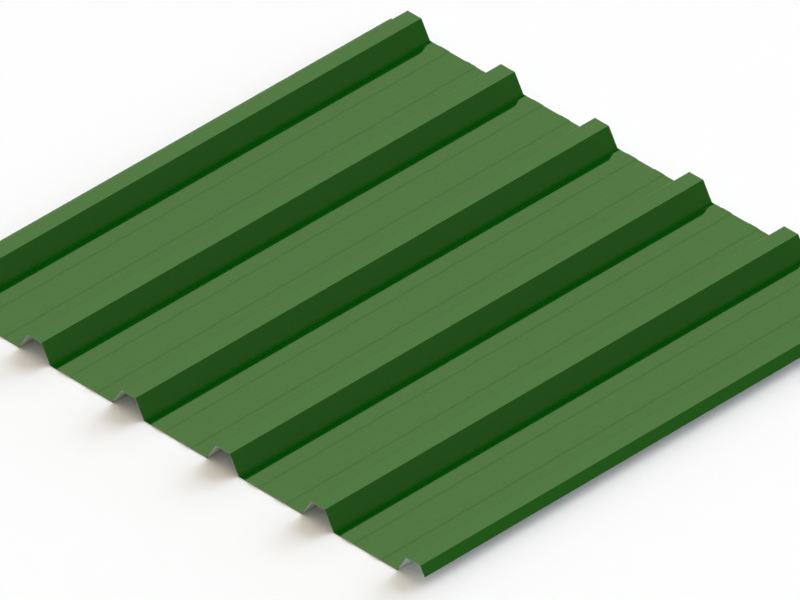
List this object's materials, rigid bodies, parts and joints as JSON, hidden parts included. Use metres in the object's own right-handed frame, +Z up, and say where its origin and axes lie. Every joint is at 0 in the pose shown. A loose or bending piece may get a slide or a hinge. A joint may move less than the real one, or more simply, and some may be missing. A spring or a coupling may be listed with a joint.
{
  "type": "box profile sheet",
  "caption": "Roll-formed coated steel sheet with trapezoidal ribs and swaged flat pans, a flat underlap lip on one side and a short overlap leg on the other, for roofs and walls.",
  "frame": {"origin": "on the floor under the middle of the sheet's overall box, level with the underside of the pans", "axes": "+X across the ribs from the underlap lip to the overlap leg, +Y along the ribs, +Z up, out of the coated upper face"},
  "size_m": [1.0748, 1, 0.0327],
  "materials": {
    "coated_steel": "smooth gloss green coil coating on the upper face, grey backing coat on the underside"
  },
  "bodies": {
    "root": {"profiled_sheet": "coated_steel"}
  },
  "joints": []
}
